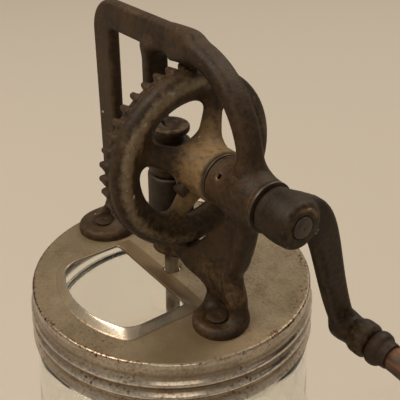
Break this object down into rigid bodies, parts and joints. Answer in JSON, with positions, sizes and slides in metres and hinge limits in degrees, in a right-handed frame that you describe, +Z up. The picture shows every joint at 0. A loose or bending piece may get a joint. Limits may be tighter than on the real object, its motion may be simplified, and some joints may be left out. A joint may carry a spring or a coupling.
{
  "type": "glass jar butter churn",
  "caption": "Square glass jar with a tin screw lid, an iron frame with a hand-cranked crown gear and pinion, and a wooden dasher that spins in the jar to churn cream.",
  "frame": {"origin": "centre of the jar's base, on the surface it stands on", "axes": "+Z up along the dasher shaft, +X along the crank axle towards the crank, pouring opening towards -Y"},
  "size_m": [0.242, 0.14, 0.3535],
  "materials": {
    "clear_glass": "clear pressed glass, slightly uneven",
    "tinned_sheet": "worn tinned sheet with rust specks and bright edges",
    "cast_iron": "dark brown cast iron, hand-worn on the raised edges",
    "steel": "dull oiled steel",
    "grip_wood": "turned hardwood, oiled and worn",
    "paddle_wood": "bare light hardwood, water-worn"
  },
  "bodies": {
    "jar": {"glass_jar": "clear_glass"},
    "lid": {"screw_lid": "tinned_sheet", "gear_frame": "cast_iron", "foot_rivets": "cast_iron", "rivet_washers": "steel", "pivot_screw": "cast_iron", "gear_washer": "steel", "crank_washer": "steel", "pinion_washer": "steel"},
    "crank": {"drive_gear": "cast_iron", "gear_axle": "steel", "gear_pin": "steel", "crank_arm": "cast_iron", "handle_spindle": "steel", "spindle_washer": "steel"},
    "grip": {"handle_ferrule": "cast_iron", "wooden_grip": "grip_wood"},
    "dasher": {"pinion": "cast_iron", "pinion_pin": "steel", "dasher_shaft": "steel", "dasher_washer": "steel", "paddle_board_a": "paddle_wood", "paddle_board_b": "paddle_wood", "dasher_foot_washer": "steel", "dasher_nut": "steel"}
  },
  "joints": [
    {"name": "lid_lift", "type": "slide", "parent": "jar", "child": "lid", "axis": [0, 0, 1], "range_m": [0, 0.24]},
    {"name": "crank_turn", "type": "hinge", "parent": "lid", "child": "crank", "pos_m": [0, 0, 0.3045], "axis": [1, 0, 0], "continuous": true},
    {"name": "dasher_spin", "type": "hinge", "parent": "lid", "child": "dasher", "pos_m": [0, 0, 0.3], "axis": [0, 0, 1], "continuous": true},
    {"name": "grip_spin", "type": "hinge", "parent": "crank", "child": "grip", "pos_m": [0, 0.03575, 0.24258], "axis": [1, 0, 0], "continuous": true}
  ],
  "couplings": [
    {"joint": "dasher_spin", "follows": "crank_turn", "ratio": 4}
  ]
}
